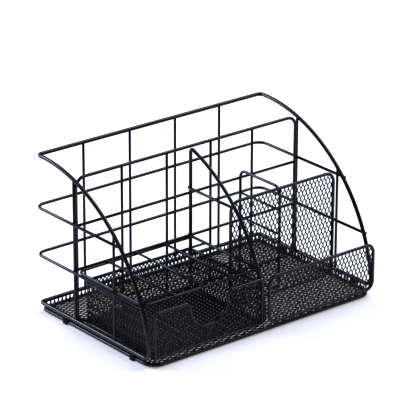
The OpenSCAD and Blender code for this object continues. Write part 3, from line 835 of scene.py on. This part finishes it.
walks = [(body, walked(line, closed), radius) for body, line, radius, closed in laid]
spots = {}
for i, (body_a, line_a, radius_a) in enumerate(walks):
    for body_b, line_b, radius_b in walks[i + 1 :]:
        reach = radius_a + radius_b + WELD_TOUCH
        apart = np.maximum(line_a.min(0) - line_b.max(0), line_b.min(0) - line_a.max(0)).max()
        if body_a != body_b or apart > reach:
            continue
        gaps = np.linalg.norm(line_a[:, None] - line_b[None], axis=2)
        nearest = gaps.min(1)
        touching = np.flatnonzero(nearest < reach)
        for run in np.split(touching, np.flatnonzero(np.diff(touching) > 1) + 1):
            if not len(run) or len(run) * WELD_STEP > WELD_RUN:
                continue
            k = run[np.argmin(nearest[run])]
            point_b = line_b[np.argmin(gaps[k])]
            share = radius_a / (radius_a + radius_b)
            middle = line_a[k] + (point_b - line_a[k]) * share
            spots.setdefault(body_a, []).append((middle, WELD_SWELL * min(radius_a, radius_b)))

for body, found in spots.items():
    verts, faces = [], []
    for middle, size in found:
        base = len(verts)
        verts.append(tuple(middle + np.array((0, 0, size))))
        for row in range(1, WELD_ROWS):
            tilt = math.pi * row / WELD_ROWS
            for k in range(WELD_SIDES):
                turn = 2 * math.pi * k / WELD_SIDES
                out = (math.sin(tilt) * math.cos(turn), math.sin(tilt) * math.sin(turn), math.cos(tilt))
                verts.append(tuple(middle + size * np.array(out)))
        verts.append(tuple(middle - np.array((0, 0, size))))
        last = len(verts) - 1
        for k in range(WELD_SIDES):
            n = (k + 1) % WELD_SIDES
            faces.append((base, base + 1 + k, base + 1 + n))
            faces.append((last, last - WELD_SIDES + n, last - WELD_SIDES + k))
            for row in range(WELD_ROWS - 2):
                here, there = base + 1 + row * WELD_SIDES, base + 1 + (row + 1) * WELD_SIDES
                faces.append((here + k, there + k, there + n, here + n))
    keep_mesh(f"{body}_weld_spots", verts, faces, powder_coated_wire, body, [])

# ---------------------------------------------------------------------------
# Table top. A plain pale sheet under the rack, large enough to run out of every view. It has a
# painted glow, a painted fill light that lifts the shade under the tray and shows through the holes in the
# tray.
# ---------------------------------------------------------------------------
TABLE_WHITE = "#f2f2f4"
TABLE_HALF = 6.0
# Painted glow: the table top gives off light of its own, which brightens the shade under the rack.
TABLE_PAINTED_GLOW = 0.42
TABLE_GRAIN = 1.5 * MM

table = bpy.data.materials.new("matt_white_laminate")
table.use_nodes = True
table_tree = table.node_tree
table_tree.nodes.clear()
grain_at = add(table_tree, "ShaderNodeTexCoord").outputs["Object"]
grain_noise = add(table_tree, "ShaderNodeTexNoise", Vector=grain_at, Scale=1 / TABLE_GRAIN, Detail=2.0)
grain = grain_noise.outputs["Fac"]
relief = add(table_tree, "ShaderNodeBump", Height=grain, Strength=0.2, Distance=0.02 * MM)
table_shader = add(
    table_tree,
    "ShaderNodeBsdfPrincipled",
    Base_Color=linear(TABLE_WHITE),
    # The emission is painted light, a glow that fills the shade under the tray and pales the shadow.
    Emission_Color=linear(TABLE_WHITE),
    Emission_Strength=TABLE_PAINTED_GLOW,
    Roughness=0.75,
    Normal=relief.outputs["Normal"],
)
add(table_tree, "ShaderNodeOutputMaterial", Surface=table_shader.outputs["BSDF"])
table_mesh = bpy.data.meshes.new("table_top")
table_corners = [(sx * TABLE_HALF, sy * TABLE_HALF, 0) for sx, sy in ((-1, -1), (1, -1), (1, 1), (-1, 1))]
table_mesh.from_pydata(table_corners, [], [(0, 1, 2, 3)])
table_mesh.materials.append(table)
table_top = bpy.data.objects.new("table_top", table_mesh)
bpy.context.scene.collection.objects.link(table_top)
table_top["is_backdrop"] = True

# ---------------------------------------------------------------------------
# Studio light. A dim white surround, a bluish soft box high behind the left side, and a wide one
# high on the right that lights the wires across the front and keeps the shadow pale.
# ---------------------------------------------------------------------------
SURROUND = "#ffffff"
SURROUND_POWER = 0.13

world = bpy.data.worlds.new("studio")
bpy.context.scene.world = world
world.use_nodes = True
world.node_tree.nodes.clear()
surround = add(world.node_tree, "ShaderNodeBackground", Color=linear(SURROUND), Strength=SURROUND_POWER)
add(world.node_tree, "ShaderNodeOutputWorld", Surface=surround.outputs["Background"])


def soft_box(name, place, target, size, power, colour):
    """A square area light that looks at a point."""
    lamp = bpy.data.lights.new(name, "AREA")
    lamp.size = size
    lamp.energy = power
    lamp.color = linear(colour)[:3]
    box = bpy.data.objects.new(name, lamp)
    box.location = place
    box.rotation_euler = (Vector(target) - Vector(place)).to_track_quat("-Z", "Y").to_euler()
    bpy.context.scene.collection.objects.link(box)
    return box


soft_box("window_box", (-1.0, 1.7, 1.25), (0, 0, 0.06), 1.1, 48, "#e3e8ff")
soft_box("top_box", (1.2, -0.1, 1.9), (0, 0, 0.06), 1.8, 44, "#eef1ff")

# ---------------------------------------------------------------------------
# Camera. A long lens from the front left and above, aimed at the middle of the rack and a little
# over half way up it, with the frame's middle tones deepened for the black steel.
# ---------------------------------------------------------------------------
VIEW_AZIMUTH = math.radians(-39.205)
VIEW_HEIGHT = math.radians(22.11)
VIEW_ROLL = math.radians(0.231)
VIEW_DISTANCE = 2.064
VIEW_FOCAL = 236.07692
VIEW_SETBACK = 0.55 * MM
VIEW_CENTRE_Z = 78.3 * MM
VIEW_GAMMA = 0.72

object_low, object_high = (Vector(c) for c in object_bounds())
middle = (object_low + object_high) / 2
target = Vector((middle.x, middle.y - VIEW_SETBACK, VIEW_CENTRE_Z))
offset = Vector(
    (
        math.sin(VIEW_AZIMUTH) * math.cos(VIEW_HEIGHT),
        -math.cos(VIEW_AZIMUTH) * math.cos(VIEW_HEIGHT),
        math.sin(VIEW_HEIGHT),
    )
)
camera_data = bpy.data.cameras.new("camera")
camera_data.lens = VIEW_FOCAL
camera_data.sensor_width = 36
camera = bpy.data.objects.new("camera", camera_data)
camera.location = target + VIEW_DISTANCE * offset
aim = (-offset).to_track_quat("-Z", "Y").to_matrix() @ Matrix.Rotation(VIEW_ROLL, 3, "Z")
camera.rotation_euler = aim.to_euler()
bpy.context.scene.collection.objects.link(camera)
bpy.context.scene.camera = camera
bpy.context.scene.view_settings.view_transform = "Standard"
bpy.context.scene.view_settings.gamma = VIEW_GAMMA
